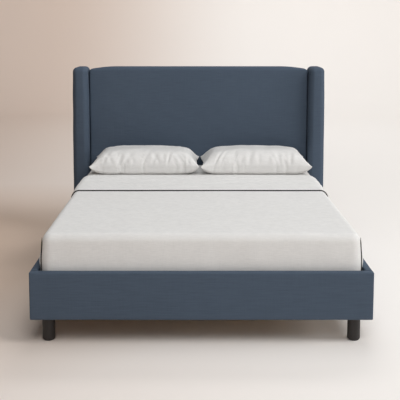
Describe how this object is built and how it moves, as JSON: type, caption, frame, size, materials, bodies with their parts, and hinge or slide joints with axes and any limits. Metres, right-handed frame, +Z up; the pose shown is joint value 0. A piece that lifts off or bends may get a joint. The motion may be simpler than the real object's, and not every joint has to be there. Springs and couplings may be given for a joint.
{
  "type": "wingback bed",
  "caption": "Upholstered bed with a tall flat headboard between two deep wings, low padded rails and black round legs, made up with a mattress, turned-down sheet and pillows.",
  "frame": {"origin": "on the floor, midway between the sides and midway between the footboard's front and the headboard's back", "axes": "+Z up, +Y from the foot to the head, +X across the bed, to the right seen from the foot"},
  "size_m": [1.8, 2.205, 1.23],
  "materials": {
    "slate_upholstery": "woven, matt",
    "upholstery_foam": "open-cell foam",
    "sawn_timber": "sawn pine",
    "plywood": "sanded plywood",
    "black_wood": "satin black paint",
    "dust_cloth": "matt non-woven",
    "webbing": "woven tape",
    "plated_steel": "zinc plate",
    "black_steel": "black powder coat",
    "glide_plastic": "moulded",
    "ticking": "quilted",
    "mattress_foam": "open-cell foam",
    "white_linen": "plain weave, matt",
    "dark_piping": "matt cord",
    "pillow_fill": "soft fibre"
  },
  "bodies": {
    "bed_frame": {"headboard_cover": "slate_upholstery", "headboard_foam": "upholstery_foam", "headboard_face_board": "plywood", "headboard_posts": "sawn_timber", "headboard_top_rail": "sawn_timber", "headboard_middle_rail": "sawn_timber", "headboard_bottom_rail": "sawn_timber", "headboard_studs": "sawn_timber", "headboard_dust_cloth": "dust_cloth", "headboard_cleat": "sawn_timber", "wing_left_cover": "slate_upholstery", "wing_left_foam": "upholstery_foam", "wing_left_frame": "plywood", "wing_right_cover": "slate_upholstery", "wing_right_foam": "upholstery_foam", "wing_right_frame": "plywood", "wing_bolts": "plated_steel", "side_rail_left_cover": "slate_upholstery", "side_rail_left_foam": "upholstery_foam", "side_rail_left_board": "sawn_timber", "side_rail_right_cover": "slate_upholstery", "side_rail_right_foam": "upholstery_foam", "side_rail_right_board": "sawn_timber", "side_ledger_left": "sawn_timber", "side_ledger_right": "sawn_timber", "footboard_cover": "slate_upholstery", "footboard_foam": "upholstery_foam", "footboard_board": "sawn_timber", "corner_blocks": "sawn_timber", "foot_angle_brackets": "black_steel", "head_joint_plates": "black_steel", "foot_corner_bolts": "plated_steel", "head_corner_bolts": "plated_steel", "tee_nuts": "plated_steel", "front_leg_left": "black_wood", "front_leg_right": "black_wood", "rear_leg_left": "black_wood", "rear_leg_right": "black_wood", "leg_glides": "glide_plastic", "leg_hanger_bolts": "plated_steel", "slats": "sawn_timber", "slat_webbing": "webbing", "centre_beam": "sawn_timber", "beam_hangers": "black_steel", "centre_leg_foot": "black_wood", "centre_leg_head": "black_wood", "leveller_nuts": "plated_steel"},
    "mattress": {"mattress_ticking": "ticking", "mattress_comfort_foam": "mattress_foam", "mattress_base_foam": "mattress_foam", "fitted_sheet": "white_linen", "flat_sheet": "white_linen", "turndown_piping": "dark_piping", "corner_piping": "dark_piping"},
    "pillow_left": {"pillow_left_case": "white_linen", "pillow_left_fill": "pillow_fill"},
    "pillow_right": {"pillow_right_case": "white_linen", "pillow_right_fill": "pillow_fill"},
    "leveller_foot": {"leveller_foot": "plated_steel"},
    "leveller_head": {"leveller_head": "plated_steel"}
  },
  "joints": [
    {"name": "mattress_lift", "type": "slide", "parent": "bed_frame", "child": "mattress", "axis": [0, 0, 1], "range_m": [0, 1]},
    {"name": "pillow_left_lift", "type": "slide", "parent": "mattress", "child": "pillow_left", "axis": [0, 0, 1], "range_m": [0, 0.75]},
    {"name": "pillow_right_lift", "type": "slide", "parent": "mattress", "child": "pillow_right", "axis": [0, 0, 1], "range_m": [0, 0.75]},
    {"name": "leveller_foot_screw", "type": "slide", "parent": "bed_frame", "child": "leveller_foot", "axis": [0, 0, 1], "range_m": [-0.02, 0.01]},
    {"name": "leveller_head_screw", "type": "slide", "parent": "bed_frame", "child": "leveller_head", "axis": [0, 0, 1], "range_m": [-0.02, 0.01]}
  ]
}
